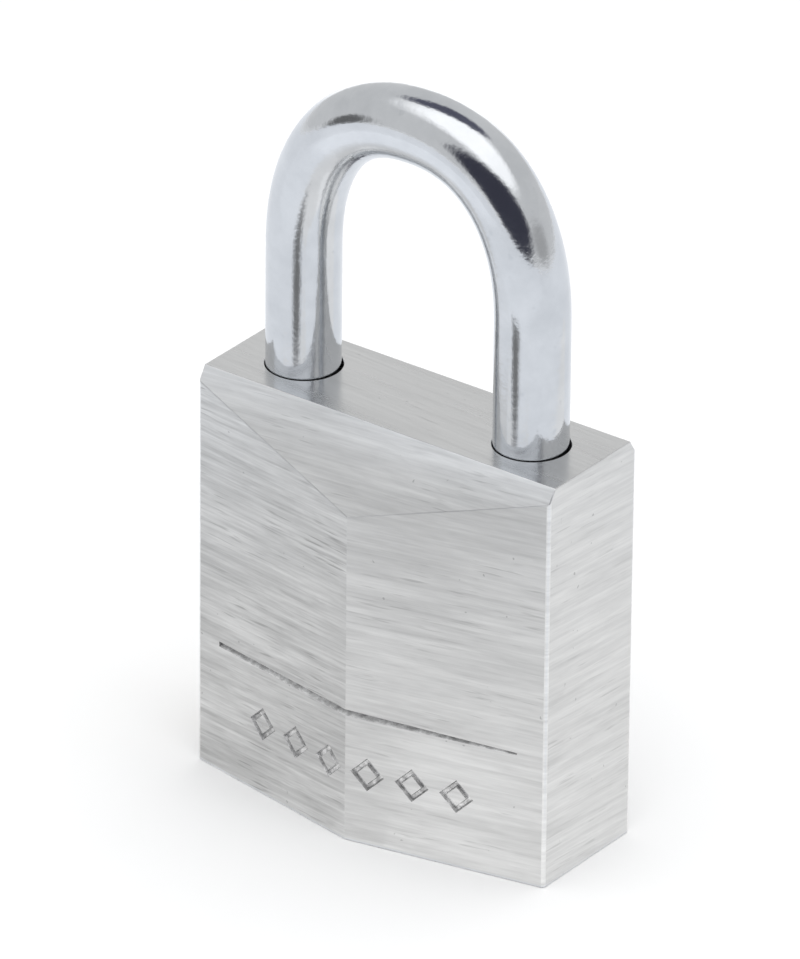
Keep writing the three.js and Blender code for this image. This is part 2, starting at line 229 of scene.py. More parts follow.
def hull(name, points):
    """The convex solid through points, with one face for each flat side."""
    flat_angle = math.radians(1)
    bm = bmesh.new()
    for point in points:
        bm.verts.new(point)
    bmesh.ops.convex_hull(bm, input=bm.verts)
    bmesh.ops.dissolve_limit(bm, angle_limit=flat_angle, verts=bm.verts, edges=bm.edges)
    mesh = bpy.data.meshes.new(name)
    bm.to_mesh(mesh)
    bm.free()
    return new_piece(name, mesh)


def settle(piece):
    """Applies the piece's modifiers."""
    graph = bpy.context.evaluated_depsgraph_get()
    graph.update()
    mesh = bpy.data.meshes.new_from_object(piece.evaluated_get(graph))
    piece.modifiers.clear()
    piece.data = mesh
    return piece


def combine(piece, tools, operation="DIFFERENCE"):
    """Cuts the tools out of the piece, or joins them to it, and removes them."""
    for tool in tools:
        step = piece.modifiers.new(operation.lower(), "BOOLEAN")
        step.operation = operation
        step.solver = "EXACT"
        step.object = tool
    settle(piece)
    for tool in tools:
        bpy.data.objects.remove(tool)
    return piece


def bevelled(piece, width, angle=35):
    """Rounds the edges sharper than the angle; the width is in millimetres."""
    step = piece.modifiers.new("bevel", "BEVEL")
    step.width = width * MM
    step.segments = SMALL_BEVEL_SEGMENTS
    step.limit_method = "ANGLE"
    step.angle_limit = math.radians(angle)
    return settle(piece)


def smooth(piece, sharp_angle):
    """Smooth shading, with sharp creases and with flat faces kept flat."""
    piece.data.shade_smooth()
    piece.data.set_sharp_from_angle(angle=math.radians(sharp_angle))
    step = piece.modifiers.new("weighted_normals", "WEIGHTED_NORMAL")
    step.keep_sharp = True


def facing(way, start=(0, 0, 0)):
    """A matrix that turns local +Z to that way and moves the origin to start, in metres."""
    turn = Z.rotation_difference(Vector(way)).to_matrix().to_4x4()
    return Matrix.Translation(Vector(start)) @ turn


# ------------ what the frame says

body_of = {n: body for body, nodes in frame["record"]["behaviour"]["bodies"].items()
           for n in nodes}


def attach(piece, cad_node, material=None, sharp_angle=38, blend=None):
    """Finishes the piece, which stands for the node: hides the node, and the piece moves with its
    body.

    With blend, (two bodies, start, end), it stays where it lies and moves with no body instead;
    what blend holds is not used.
    """
    if material is not None:
        piece.data.materials.append(material)
    smooth(piece, sharp_angle)
    if blend is None:
        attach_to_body(piece, body_of[cad_node])
    else:
        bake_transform(piece)
    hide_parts(cad_node)


def span(cad_node, way):
    """(start point in metres, length and radius in mm) of a round node that lies along way."""
    low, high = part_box(cad_node)
    middle, size = (low + high) / 2, high - low
    axis = max(range(3), key=lambda i: abs(way[i]))
    length = size[axis]
    radius = max(size[i] for i in range(3) if i != axis) / 2
    return middle - Vector(way) * length / 2, length / MM, radius / MM


_, body_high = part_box("body")
body_points = np.array([v.co for v in frame["nodes"]["body"].data.vertices])
HALF_WIDTH, HALF_RIDGE, BODY_HEIGHT = (c / MM for c in body_high)
TOLERANCE = 0.01
at_side = body_points[:, 0] > (HALF_WIDTH - TOLERANCE) * MM
at_top = body_points[:, 2] > (BODY_HEIGHT - TOLERANCE) * MM
at_ridge = body_points[:, 1] > (HALF_RIDGE - TOLERANCE) * MM
HALF_SIDE = body_points[at_side, 1].max() / MM
HALF_TOP = body_points[at_top, 1].max() / MM
RIDGE_TOP = body_points[at_ridge, 2].max() / MM
SHOULDER_SLOPE = (BODY_HEIGHT - RIDGE_TOP) / (HALF_RIDGE - HALF_TOP)
SIDE_TOP = BODY_HEIGHT - (HALF_SIDE - HALF_TOP) * SHOULDER_SLOPE
FACET_ANGLE = math.atan2(HALF_RIDGE - HALF_SIDE, HALF_WIDTH)

shackle_low, shackle_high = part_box("shackle")
BAR_RADIUS = shackle_high.y / MM
HALF_SPACING = shackle_high.x / MM - BAR_RADIUS
ARCH_RISE = shackle_high.z / MM - BAR_RADIUS - BODY_HEIGHT - STRAIGHT_LEG
HEEL_FOOT_BOTTOM = shackle_low.z / MM
latch_low, latch_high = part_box("heel_latch")
LATCH_LEVEL = (latch_low.z + latch_high.z) / 2 / MM
PIN_NUMBERS = range(1, 5)
PIN_LEVELS = [span(f"key_pin_{i}", Y)[0].z / MM for i in PIN_NUMBERS]


def facet_depth(x):
    """Distance from the y = 0 plane to the front or back facet, in millimetres."""
    return HALF_RIDGE - (HALF_RIDGE - HALF_SIDE) * abs(x) / HALF_WIDTH


def shoulder_depth(z):
    """Distance from the y = 0 plane to the front or back shoulder, in millimetres."""
    return HALF_TOP + (BODY_HEIGHT - z) / SHOULDER_SLOPE


# ------------ shader nodes

def node(tree, kind, inputs=None, **settings):
    """A new shader node; an input is a value, or the output socket that feeds it."""
    made = tree.nodes.new("ShaderNode" + kind)
    for key, value in settings.items():
        setattr(made, key, value)
    for key, value in (inputs or {}).items():
        if isinstance(value, bpy.types.NodeSocket):
            tree.links.new(value, made.inputs[key])
        else:
            made.inputs[key].default_value = value
    return made


def calc(tree, operation, first, second):
    return node(tree, "Math", {0: first, 1: second}, operation=operation).outputs[0]


def weighted(tree, *terms):
    """The sum of (value, weight) terms."""
    total = 0.0
    for value, weight in terms:
        total = calc(tree, "ADD", total, calc(tree, "MULTIPLY", value, weight))
    return total


def remap(tree, value, low, high, to_low=0.0, to_high=1.0, **settings):
    return node(tree, "MapRange", {
        "Value": value, "From Min": low, "From Max": high,
        "To Min": to_low, "To Max": to_high}, **settings).outputs[0]


def noise(tree, vector, detail, scale=1.0, roughness=0.55, distortion=0.0):
    return node(tree, "TexNoise", {
        "Vector": vector, "Scale": scale, "Detail": detail, "Roughness": roughness,
        "Distortion": distortion}).outputs["Fac"]


def stretched(tree, place, along, across, length, width, seed, **look):
    """Noise drawn out along one direction, in marks of that length and width in mm."""
    parts = []
    for way, size in ((along, length), (across, width)):
        scaled = Vector(way) / (size * MM)
        parts.append(node(tree, "VectorMath", {0: place, 1: scaled}, operation="DOT_PRODUCT"))
    vector = node(tree, "CombineXYZ", {
        "X": parts[0].outputs["Value"], "Y": parts[1].outputs["Value"], "Z": seed})
    return noise(tree, vector.outputs[0], **look)


def mix_colour(tree, factor, first, second):
    """A Mix node's colours go into its sockets 6 and 7, and come out of its output 2."""
    return node(tree, "Mix", {0: factor, 6: first, 7: second}, data_type="RGBA").outputs[2]


WHITE = (1, 1, 1)


def grey(value, tint=WHITE):
    return tuple(value * t for t in tint) + (1,)


def new_metal(name):
    """A metal material with its shader, and the piece's own coordinates in metres."""
    material = bpy.data.materials.new(name)
    material.use_nodes = True
    tree = material.node_tree
    shader = tree.nodes["Principled BSDF"]
    shader.inputs["Metallic"].default_value = 1
    place = node(tree, "TexCoord").outputs["Object"]
    return material, tree, shader, place


def finish_metal(tree, shader, colour, roughness, height, depth):
    """Links the looks; depth is the height of the bump's relief in millimetres."""
    tree.links.new(colour, shader.inputs["Base Color"])
    tree.links.new(roughness, shader.inputs["Roughness"])
    bump = node(tree, "Bump", {"Height": height, "Strength": 1.0, "Distance": depth * MM})
    tree.links.new(bump.outputs[0], shader.inputs["Normal"])


# ------------ materials

ALUMINIUM_TINT = (0.997, 1.0, 0.997)
BRASS = (1.0, 0.76, 0.36)
STEEL = (0.98, 0.99, 1.0)

# Parts of a noise's values that a look is spread over: the narrower, the harder its edges.
TONE_RANGE = (0.35, 0.65)
ROUGH_RANGE = (0.3, 0.7)

# Marks on a sanded face: length and width in mm, what is added to the seed, detail, distortion.
MARKS = {
    "fine": (10, 0.22, 0.0, 3, 0.35),
    "middle": (9, 0.7, 3.1, 3, 0.6),
    "short": (1.9, 0.34, 15.5, 3, 0.6),
    "broad": (12, 2.6, 7.7, 2, 0.6),
    "nicks": (2.8, 0.2, 12.3, 1, 0.0),
    "patches": (5, 4, 21.9, 1, 0.0),
}
MARK_SHARES = {"fine": 0.3, "middle": 0.35, "short": 0.16, "broad": 0.19}
MARK_RANGE = (0.38, 0.62)
NICK_RANGE = (0.62, 0.74)
PATCH_RANGE = (0.42, 0.6)
PIT_RANGE = (0.85, 0.88)


def sanded(name, ways, seed, tone=0.66, contrast=1.0, rough=0.38, relief=0.003):
    """Bare aluminium drawn over a belt: long fine scratches, broader bands, short dark nicks."""
    tone_spread, rough_spread = 0.17 * contrast, 0.05
    nick_darkness, pit_darkness, dark_tone, nick_depth = 0.4 * contrast, 0.45, 0.35, 0.4
    material, tree, shader, place = new_metal(name)
    layers = {}
    for kind, (length, width, offset, detail, distortion) in MARKS.items():
        layers[kind] = stretched(tree, place, *ways, length, width, seed + offset,
                                 detail=detail, distortion=distortion)
    marks = weighted(tree, *((layers[kind], share) for kind, share in MARK_SHARES.items()))
    nicks = calc(tree, "MULTIPLY", remap(tree, layers["nicks"], *NICK_RANGE),
                 remap(tree, layers["patches"], *PATCH_RANGE))
    pits = remap(tree, noise(tree, place, scale=2300.0, detail=0), *PIT_RANGE)
    dark = calc(tree, "MAXIMUM", calc(tree, "MULTIPLY", nicks, nick_darkness),
                calc(tree, "MULTIPLY", pits, pit_darkness))
    colour = mix_colour(tree, remap(tree, marks, *MARK_RANGE),
                        grey(tone * (1 - tone_spread), ALUMINIUM_TINT),
                        grey(tone * (1 + tone_spread), ALUMINIUM_TINT))
    colour = mix_colour(tree, dark, colour, grey(tone * dark_tone))
    roughness = remap(tree, layers["middle"], *ROUGH_RANGE,
                      to_low=rough + rough_spread, to_high=rough - rough_spread)
    height = calc(tree, "SUBTRACT", marks, calc(tree, "MULTIPLY", nicks, nick_depth))
    finish_metal(tree, shader, colour, roughness, height, relief * contrast)
    return material


def machined(name, tone, rough, cut_width=0.07):
    """Aluminium as a cutter left it: fine marks across Z, with slow changes of tone."""
    darker, lighter = 0.86, 1.1
    material, tree, shader, place = new_metal(name)
    cuts = stretched(tree, place, X, Z, length=9, width=cut_width, seed=1.7, detail=2)
    cloud = noise(tree, place, scale=420.0, detail=3)
    level = weighted(tree, (cuts, 0.5), (cloud, 0.5))
    colour = mix_colour(tree, remap(tree, level, *TONE_RANGE),
                        grey(tone * darker, ALUMINIUM_TINT), grey(tone * lighter, ALUMINIUM_TINT))
    roughness = remap(tree, cloud, *ROUGH_RANGE, to_low=rough - 0.06, to_high=rough + 0.08)
    finish_metal(tree, shader, colour, roughness, cuts, depth=0.002)
    return material


def ploughed_and_shaded(name, dark, bright):
    """Metal torn up by a point or pressed in by a stamp: uneven, part dark and part bright, and
    dark overall as painted shade in the groove.
    """
    torn_range = (0.4, 0.64)
    material, tree, shader, place = new_metal(name)
    torn = noise(tree, place, scale=1500.0, detail=4, roughness=0.7)
    colour = mix_colour(tree, remap(tree, torn, *torn_range), grey(dark), grey(bright))
    roughness = remap(tree, torn, *ROUGH_RANGE, to_low=0.55, to_high=0.36)
    finish_metal(tree, shader, colour, roughness, torn, depth=0.03)
    return material


def plating():
    """Zinc plate on a drawn bar: faint lines along it, a fine grain and a bluish cast."""
    dark, bright, speck = (0.58, 0.597, 0.62, 1), (0.66, 0.677, 0.7, 1), (0.45, 0.47, 0.5, 1)
    speck_range, speck_share = (0.71, 0.76), 0.25
    lines_per_mm = (0.12, 3.2, 1)
    material, tree, shader, place = new_metal("plating")
    along = node(tree, "UVMap", uv_map="along").outputs[0]
    lines = node(tree, "Mapping", {"Vector": along, "Scale": lines_per_mm}).outputs[0]
    drawn = noise(tree, lines, detail=3, roughness=0.6)
    grain = noise(tree, place, scale=5200.0, detail=2)
    ripple = noise(tree, place, scale=1900.0, detail=2)
    cloud = noise(tree, place, scale=260.0, detail=4, roughness=0.6)
    specks = remap(tree, noise(tree, place, scale=900.0, detail=1), *speck_range)
    colour = mix_colour(tree, remap(tree, cloud, *TONE_RANGE), dark, bright)
    colour = mix_colour(tree, calc(tree, "MULTIPLY", specks, speck_share), colour, speck)
    roughness = remap(tree, cloud, *ROUGH_RANGE, to_low=0.1, to_high=0.14)
    height = weighted(tree, (drawn, 0.5), (grain, 0.14), (ripple, 0.9))
    finish_metal(tree, shader, colour, roughness, height, depth=0.013)
    return material


def turned_metal(name, tint, way, tone, rough=0.26):
    """Bar stock turned about an axis that lies along way: fine rings, with a little tarnish."""
    tarnish_range, tarnish_tone = (0.35, 0.68), 0.74
    ring_share, ring_tone = 0.35, 0.7
    material, tree, shader, place = new_metal(name)
    side = Vector(way).orthogonal().normalized()
    rings = stretched(tree, place, side, way, length=30, width=0.05, seed=4.2, detail=2)
    cloud = noise(tree, place, scale=600.0, detail=4, roughness=0.6)
    colour = mix_colour(tree, remap(tree, cloud, *tarnish_range), grey(tone, tint),
                        grey(tone * tarnish_tone, tint))
    level = remap(tree, rings, *TONE_RANGE, to_high=ring_share)
    colour = mix_colour(tree, level, colour, grey(tone * ring_tone, tint))
    roughness = remap(tree, cloud, *ROUGH_RANGE, to_low=rough - 0.05, to_high=rough + 0.1)
    finish_metal(tree, shader, colour, roughness, rings, depth=0.0015)
    return material


def spring_wire():
    """Drawn spring wire, dark and slightly uneven."""
    dark, bright = (0.34, 0.35, 0.37, 1), (0.55, 0.56, 0.58, 1)
    material, tree, shader, place = new_metal("spring_wire")
    cloud = noise(tree, place, scale=1500.0, detail=3)
    fine = noise(tree, place, scale=7000.0, detail=2)
    colour = mix_colour(tree, remap(tree, cloud, *TONE_RANGE), dark, bright)
    roughness = remap(tree, cloud, *ROUGH_RANGE, to_low=0.2, to_high=0.34)
    finish_metal(tree, shader, colour, roughness, fine, depth=0.002)
    return material


# ------------ the body

# How steeply the belt's scratches climb across each kind of face, in degrees.
LEFT_SLOPE = 2.4
RIGHT_SLOPE = 1.2
SIDE_SLOPE = -4.0
SHOULDER_SLANT = 3.0
TOP_SLOPE = -3.0
SEED_STEP = 5.3               # between the noise seeds of one face and the next

# The front facets' lower tones are painted shade, the left facet darker than the right; the back
# facets keep the plain tone.
FACE_LOOKS = {
    "front_left": dict(contrast=1.3, tone=0.61),
    "front_right": dict(contrast=0.75, tone=0.632),
    "heel_side": dict(contrast=0.65),
    "front_shoulder": dict(contrast=0.85, rough=0.34, relief=0.002),
    "back_shoulder": dict(contrast=0.6, rough=0.34, relief=0.002),
    "top": dict(contrast=0.4, rough=0.24, relief=0.0015),
}


def slanted(level_axis, slope_degrees, flat_axis):
    """Directions along and across scratches that climb by that slope within a face."""
    slope = math.radians(slope_degrees)
    along = flat_axis * math.cos(slope) + level_axis * math.sin(slope)
    across = level_axis * math.cos(slope) - flat_axis * math.sin(slope)
    return along, across


def facet_way(turn):
    """The level direction within a front facet, the left one at -1 and the right one at 1."""
    return Vector((math.cos(FACET_ANGLE), turn * math.sin(FACET_ANGLE), 0))


def body_finishes():
    """(face normal, material) of each outer face, and the materials of all other metal."""
    front_left, front_right = facet_way(-1), facet_way(1)
    shoulder = math.atan2(SHOULDER_SLOPE, 1)
    up_slope = Vector((0, math.cos(shoulder), math.sin(shoulder)))
    down_slope = Vector((0, math.cos(shoulder), -math.sin(shoulder)))
    outward = {
        "front_left": (front_left.cross(Z), slanted(Z, LEFT_SLOPE, front_left)),
        "front_right": (front_right.cross(Z), slanted(Z, RIGHT_SLOPE, front_right)),
        "back_left": (Z.cross(front_right), slanted(Z, LEFT_SLOPE, front_right)),
        "back_right": (Z.cross(front_left), slanted(Z, RIGHT_SLOPE, front_left)),
        "heel_side": (X, slanted(Z, SIDE_SLOPE, Y)),
        "toe_side": (-X, slanted(Z, SIDE_SLOPE, Y)),
        "front_shoulder": (X.cross(up_slope), slanted(up_slope, SHOULDER_SLANT, X)),
        "back_shoulder": (X.cross(down_slope), slanted(down_slope, SHOULDER_SLANT, X)),
        "top": (Z, slanted(Y, TOP_SLOPE, X)),
        "base": (-Z, slanted(Y, TOP_SLOPE, X)),
    }
    faces = []
    for i, (name, (normal, ways)) in enumerate(outward.items()):
        material = sanded("aluminium_" + name, ways, SEED_STEP * i, **FACE_LOOKS.get(name, {}))
        faces.append((normal.normalized(), material))
    # The side bevels' lighter tone is a painted highlight over their machined marks.
    edge = machined("aluminium_edge_highlight", tone=0.78, rough=0.34, cut_width=0.2)
    bore = machined("aluminium_bore", tone=0.62, rough=0.3)
    # The engraved line and the lozenges are darkened as painted shade in their grooves.
    line = ploughed_and_shaded("aluminium_line_shaded", dark=0.5, bright=0.78)
    stamp = ploughed_and_shaded("aluminium_stamp_shaded", dark=0.46, bright=0.86)
    # The fold at the front left and its twin at the back are darkened as painted shade along the
    # crease.
    shaded_fold = machined("aluminium_shaded_fold", tone=0.56, rough=0.45, cut_width=0.2)
    return faces, [edge, bore, line, stamp, shaded_fold]


def body_blank():
    """The six-sided body with its two sloping shoulders, its edges rounded by their kinds."""
    w, r, s, t = HALF_WIDTH, HALF_RIDGE, HALF_SIDE, HALF_TOP
    corners = []
    for side in (-1, 1):
        corners += [(0, side * r, 0), (0, side * r, RIDGE_TOP)]
        for end in (-w, w):
            corners += [(end, side * s, 0), (end, side * s, SIDE_TOP), (end, side * t, BODY_HEIGHT)]
    blank = hull("body_shell", [Vector(c) * MM for c in corners])
    weights = blank.data.attributes.new("bevel_weight_edge", "FLOAT", "EDGE")
    for edge in blank.data.edges:
        a, b = (blank.data.vertices[i].co / MM for i in edge.vertices)
        if max(a.z, b.z) < TOLERANCE:
            width = BASE_BEVEL
        elif abs(a.x - b.x) < TOLERANCE and abs(abs(a.x) - w) < TOLERANCE:
            upright = abs(a.y - b.y) < TOLERANCE
            width = SIDE_BEVEL if upright else TOP_BEVEL
        else:
            width = FOLD_BEVEL
        weights.data[edge.index].value = width / SIDE_BEVEL
    step = blank.modifiers.new("bevel", "BEVEL")
    step.limit_method = "WEIGHT"
    step.width = SIDE_BEVEL * MM
    step.segments = BODY_BEVEL_SEGMENTS
    return settle(blank)


def hole(radius, start, way, depth, mouth, sides=64):
    """A round cutter that enters the metal at start, with a small flare at its mouth."""
    outside = 1
    profile = [(0, -outside, 0), (radius + mouth + outside, -outside, 0),
               (radius, mouth, 0), (radius, depth, 0), (0, depth, 0)]
    return lathe("cutter", profile, sides, facing(way, Vector(start) * MM))


def engraved_line_cutter():
    """The line was cut with a pointed tool, so its section is a V that changes in depth."""
    outside = 0.4
    rings = []
    for x, depth in zip((-LINE_HALF_LENGTH, 0, LINE_HALF_LENGTH), LINE_DEPTHS):
        reach = LINE_SPREAD * (depth + outside)
        section = [(depth, 0), (-outside, reach), (-outside, -reach)]
        rings.append([
            Vector((x, inward - facet_depth(x), LINE_LEVEL + rise)) * MM
            for inward, rise in section])
    return skin("cutter", rings)


def lozenge_prism(half, flare, depth, place):
    """A diamond cutter, wider by flare at the surface and pointing inward along local -Z."""
    outside = 0.3
    rings = []
    for level in (-depth, outside):
        size = half + flare * level / depth
        rings.append([place @ (Vector((x, y, level)) * MM)
                      for x, y in ((size, 0), (0, size), (-size, 0), (0, -size))])
    return skin("cutter", rings)


def lozenge_cutters():
    """Each lozenge is a stamped groove round an island of untouched metal."""
    groove_flare, island_flare, island_depth = 0.14, -0.12, 1.2 * LOZENGE_DEPTH
    cutters = []
    for i in range(LOZENGE_COUNT):
        x = (i - (LOZENGE_COUNT - 1) / 2) * LOZENGE_PITCH
        along = facet_way(math.copysign(1, x))
        turn = Matrix((along, Z, along.cross(Z))).transposed().to_4x4()
        place = Matrix.Translation(Vector((x, -facet_depth(x), LOZENGE_LEVEL)) * MM) @ turn
        cutter = lozenge_prism(LOZENGE_HALF, groove_flare, LOZENGE_DEPTH, place)
        island_half = LOZENGE_HALF - LOZENGE_STROKE
        island = lozenge_prism(island_half, island_flare, island_depth, place)
        cutters.append(combine(cutter, [island]))
    return cutters


def body_cutters():
    top, side = BODY_HEIGHT, HALF_WIDTH
    overlap, end_play = 1, 0.4
    cutters = [hole(PLUG_BORE_RADIUS, (0, 0, 0), Z, CHAMBER_TOP, mouth=0.2, sides=96)]
    for leg, bottom in ((1, HEEL_HOLE_BOTTOM), (-1, TOE_HOLE_BOTTOM)):
        start = (leg * HALF_SPACING + LEG_HOLE_OFFSET, 0, top)
        cutters.append(hole(LEG_HOLE_RADIUS, start, -Z, top - bottom, mouth=0.04, sides=96))
    cutters.append(
        hole(LATCH_BORE_RADIUS, (-side, 0, LATCH_LEVEL), X, side + HALF_SPACING, mouth=0.05))
    for level in PIN_LEVELS:
        depth = side - PLUG_BORE_RADIUS + overlap
        cutters.append(hole(PIN_HOLE_RADIUS, (-side, 0, level), X, depth, mouth=0.05))
    for name in ("shackle_retaining_pin", "plug_retaining_pin"):
        start, length, radius = span(name, -Y)
        x, z = start.x / MM, start.z / MM
        cutters.append(hole(radius + PRESSED_GAP, (x, facet_depth(x), z), -Y,
                            length + end_play, mouth=0.05, sides=40))
    return cutters + [engraved_line_cutter()] + lozenge_cutters()


def body_shell():
    same_way, upright_rise, side_strip = 0.9999, 0.1, 1
    shell = combine(body_blank(), body_cutters())
    faces, others = body_finishes()
    for material in [material for _, material in faces] + others:
        shell.data.materials.append(material)
    edge, bore, line, stamp, shaded_fold = range(len(faces), len(faces) + len(others))
    for face in shell.data.polygons:
        x, y, z = face.center / MM
        nearest = max(range(len(faces)), key=lambda i: face.normal.dot(faces[i][0]))
        normal = faces[nearest][0]
        if face.normal.dot(normal) > same_way and on_outside(face.center, normal):
            face.material_index = nearest
        # The engraved line and the lozenges take the darker groove metal, painted shade.
        elif in_line(x, y, z):
            face.material_index = line
        elif in_row(x, y, z):
            face.material_index = stamp
        # The front-left fold and its twin take painted shade.
        elif on_shaded_fold(x, y, z) and on_skin(x, y, z):
            face.material_index = shaded_fold
        elif on_skin(x, y, z):
            # Upright side bevels take the lighter edge metal, a painted highlight.
            upright = abs(face.normal.z) < upright_rise and abs(x) > HALF_WIDTH - side_strip
            face.material_index = edge if upright else nearest
        else:
            face.material_index = bore
    attach(shell, "body")


def on_shaded_fold(x, y, z):
    """Whether a point in mm is on the fold at the front left, or its twin at the back, where shade
    is painted.
    """
    end_margin = 0.5
    gap = max(facet_depth(x), shoulder_depth(z)) - abs(y)
    return x * y > 0 and abs(x) < HALF_WIDTH - end_margin and gap < FOLD_BEVEL


def in_line(x, y, z):
    """Whether a point in mm lies in the engraved line."""
    margin, half_height = 0.1, 0.5
    shallow = facet_depth(x) + y < max(LINE_DEPTHS) + margin
    return (shallow and abs(x) < LINE_HALF_LENGTH + margin
            and abs(z - LINE_LEVEL) < half_height)


def in_row(x, y, z):
    """Whether a point in mm lies in one of the lozenges."""
    margin = 0.2
    shallow = facet_depth(x) + y < LOZENGE_DEPTH + margin
    end = (LOZENGE_COUNT - 1) / 2 * LOZENGE_PITCH + LOZENGE_HALF
    return (shallow and margin < abs(x) < end + margin
            and abs(z - LOZENGE_LEVEL) < LOZENGE_HALF + margin)


def on_outside(point, normal):
    """Whether a point lies on the body's outermost plane in that direction."""
    corners = body_points @ np.array(normal)
    return abs(Vector(point).dot(normal) - corners.max()) < TOLERANCE * MM


def on_skin(x, y, z):
    """Whether a point in mm is under the outer faces, beside an edge that is rounded."""
    gaps = sorted([
        z, BODY_HEIGHT - z, HALF_WIDTH - abs(x),
        (facet_depth(x) - abs(y)) * math.cos(FACET_ANGLE), shoulder_depth(z) - abs(y)])
    on_ridge = abs(x) < RIDGE_HALF and z < RIDGE_TOP
    beside_edge = gaps[1] < SIDE_BEVEL or (on_ridge and gaps[0] < FOLD_BEVEL)
    return gaps[0] < BEVEL_DEPTH and beside_edge


# ------------ the shackle

def arch_point(angle):
    """Centre of the bar on the arch, from the heel at 0 to the toe at pi, in millimetres."""
    across, up = math.cos(angle), max(math.sin(angle), 0.0)
    share = 2 / ARCH_POWER
    return Vector((
        math.copysign(abs(across) ** share, across) * HALF_SPACING,
        0,
        BODY_HEIGHT + STRAIGHT_LEG + ARCH_RISE * up ** share))


def turned_end(sign, profile):
    """Stations of a leg's lower end, from (radius, height, fillet) corners listed upward."""
    tangent = Z * (1 if sign < 0 else -1)
    return [(Vector((sign * HALF_SPACING, 0, height)) * MM, tangent, -X * sign, radius * MM)
            for radius, height in rounded(profile)]


def shackle_bar():
    """One bent bar: toe leg, arch and heel leg, with the heel's neck and foot turned on it."""
    arch_steps, line_steps, sides = 96, 3000, 72
    tip_gap, overlap = 0.5, 1
    r, arch_foot = BAR_RADIUS, BODY_HEIGHT + STRAIGHT_LEG
    toe_tip = TOE_HOLE_BOTTOM + tip_gap
    toe = turned_end(-1, [(0, toe_tip, 0), (r, toe_tip, 0.8), (r, arch_foot, 0)])
    heel = turned_end(1, [
        (0, HEEL_FOOT_BOTTOM, 0), (r, HEEL_FOOT_BOTTOM, 0.35), (r, HEEL_FOOT_TOP, 0.35),
        (HEEL_NECK_RADIUS, HEEL_FOOT_TOP, 0.25), (HEEL_NECK_RADIUS, HEEL_SHOULDER, 0.25),
        (r, HEEL_SHOULDER, 0.35), (r, arch_foot, 0)])
    line = [arch_point(math.pi * (1 - k / line_steps)) for k in range(line_steps + 1)]
    reach = np.cumsum([0] + [(b - a).length for a, b in zip(line, line[1:])])
    arch = []
    for k in range(1, arch_steps):
        i = int(np.searchsorted(reach, reach[-1] * k / arch_steps))
        tangent = (line[i + 1] - line[i - 1]).normalized()
        arch.append((line[i] * MM, tangent, Y.cross(tangent), r * MM))
    bar = tube("shackle_bar", toe + arch + heel[::-1], sides, with_uv=True)
    notches = []
    for side in (-1, 1):
        floor = side * (HALF_SPACING - r + NOTCH_DEPTH)
        opening = side * (HALF_SPACING - r - overlap)
        rim = r + overlap
        outline = [(floor, -rim), (opening, -rim), (opening, rim), (floor, rim)]
        notches.append(prism("cutter", outline[::-side], LATCH_LEVEL - NOTCH_HEIGHT / 2,
                             LATCH_LEVEL + NOTCH_HEIGHT / 2))
    combine(bar, notches)
    attach(bar, "shackle", plating())


# ------------ turned pins and springs

def pin(cad_node, way, near, far, material, sides=40):
    """A plain turned pin that lies along way, with those fillets at its two ends."""
    start, length, radius = span(cad_node, way)
    profile = [(0, 0, 0), (radius, 0, near), (radius, length, far), (0, length, 0)]
    piece = lathe(cad_node + "_turned", profile, sides, facing(way, start))
    attach(piece, cad_node, material)


def key_pin(cad_node, way, material):
    """Domed at the shear line and pointed where it rides on the key."""
    tip_length, tip_radius, sides = 1, 0.35, 40
    start, length, radius = span(cad_node, way)
    profile = [(0, 0, 0), (radius, 0, 0.3), (radius, length - tip_length, 0.2),
               (tip_radius, length, 0.12), (0, length, 0)]
    piece = lathe(cad_node + "_turned", profile, sides, facing(way, start))
    attach(piece, cad_node, material, sharp_angle=60)


def coil(cad_node, way, spring, material, blend=None):
    """A coil spring whose end turns lie nearly closed."""
    wire, turns = spring
    steps_per_turn, sides = 28, 12
    dead_turns, opening_turns, dead_pitch = 0.8, 0.5, 2.04 * wire
    start, length, outer = span(cad_node, way)
    place = facing(way, start)
    rise = length - 2 * wire
    dead_rise = min(dead_pitch, rise / turns) * turns
    count = turns * steps_per_turn
    shares = []
    for k in range(count + 1):
        done = turns * k / count
        from_end = min(done, turns - done)
        shares.append(min(max((from_end - dead_turns) / opening_turns, 0), 1))
    opened = np.cumsum(shares)
    line = []
    for k in range(count + 1):
        angle = 2 * math.pi * turns * k / count
        out = Vector((math.cos(angle), math.sin(angle), 0))
        height = wire + dead_rise * k / count + (rise - dead_rise) * opened[k] / opened[-1]
        line.append((out * (outer - wire) + Z * height, out))
    stations = []
    for k, (point, out) in enumerate(line):
        before, after = line[max(k - 1, 0)][0], line[min(k + 1, count)][0]
        tangent = (after - before).normalized()
        normal = (out - tangent * out.dot(tangent)).normalized()
        stations.append((place @ (point * MM), place.to_3x3() @ tangent,
                         place.to_3x3() @ normal, wire * MM))
    stations.insert(0, stations[0][:3] + (0,))
    stations.append(stations[-1][:3] + (0,))
    piece = tube(cad_node + "_wire", stations, sides)
    attach(piece, cad_node, material, sharp_angle=50, blend=blend)


# ------------ latches and cylinder

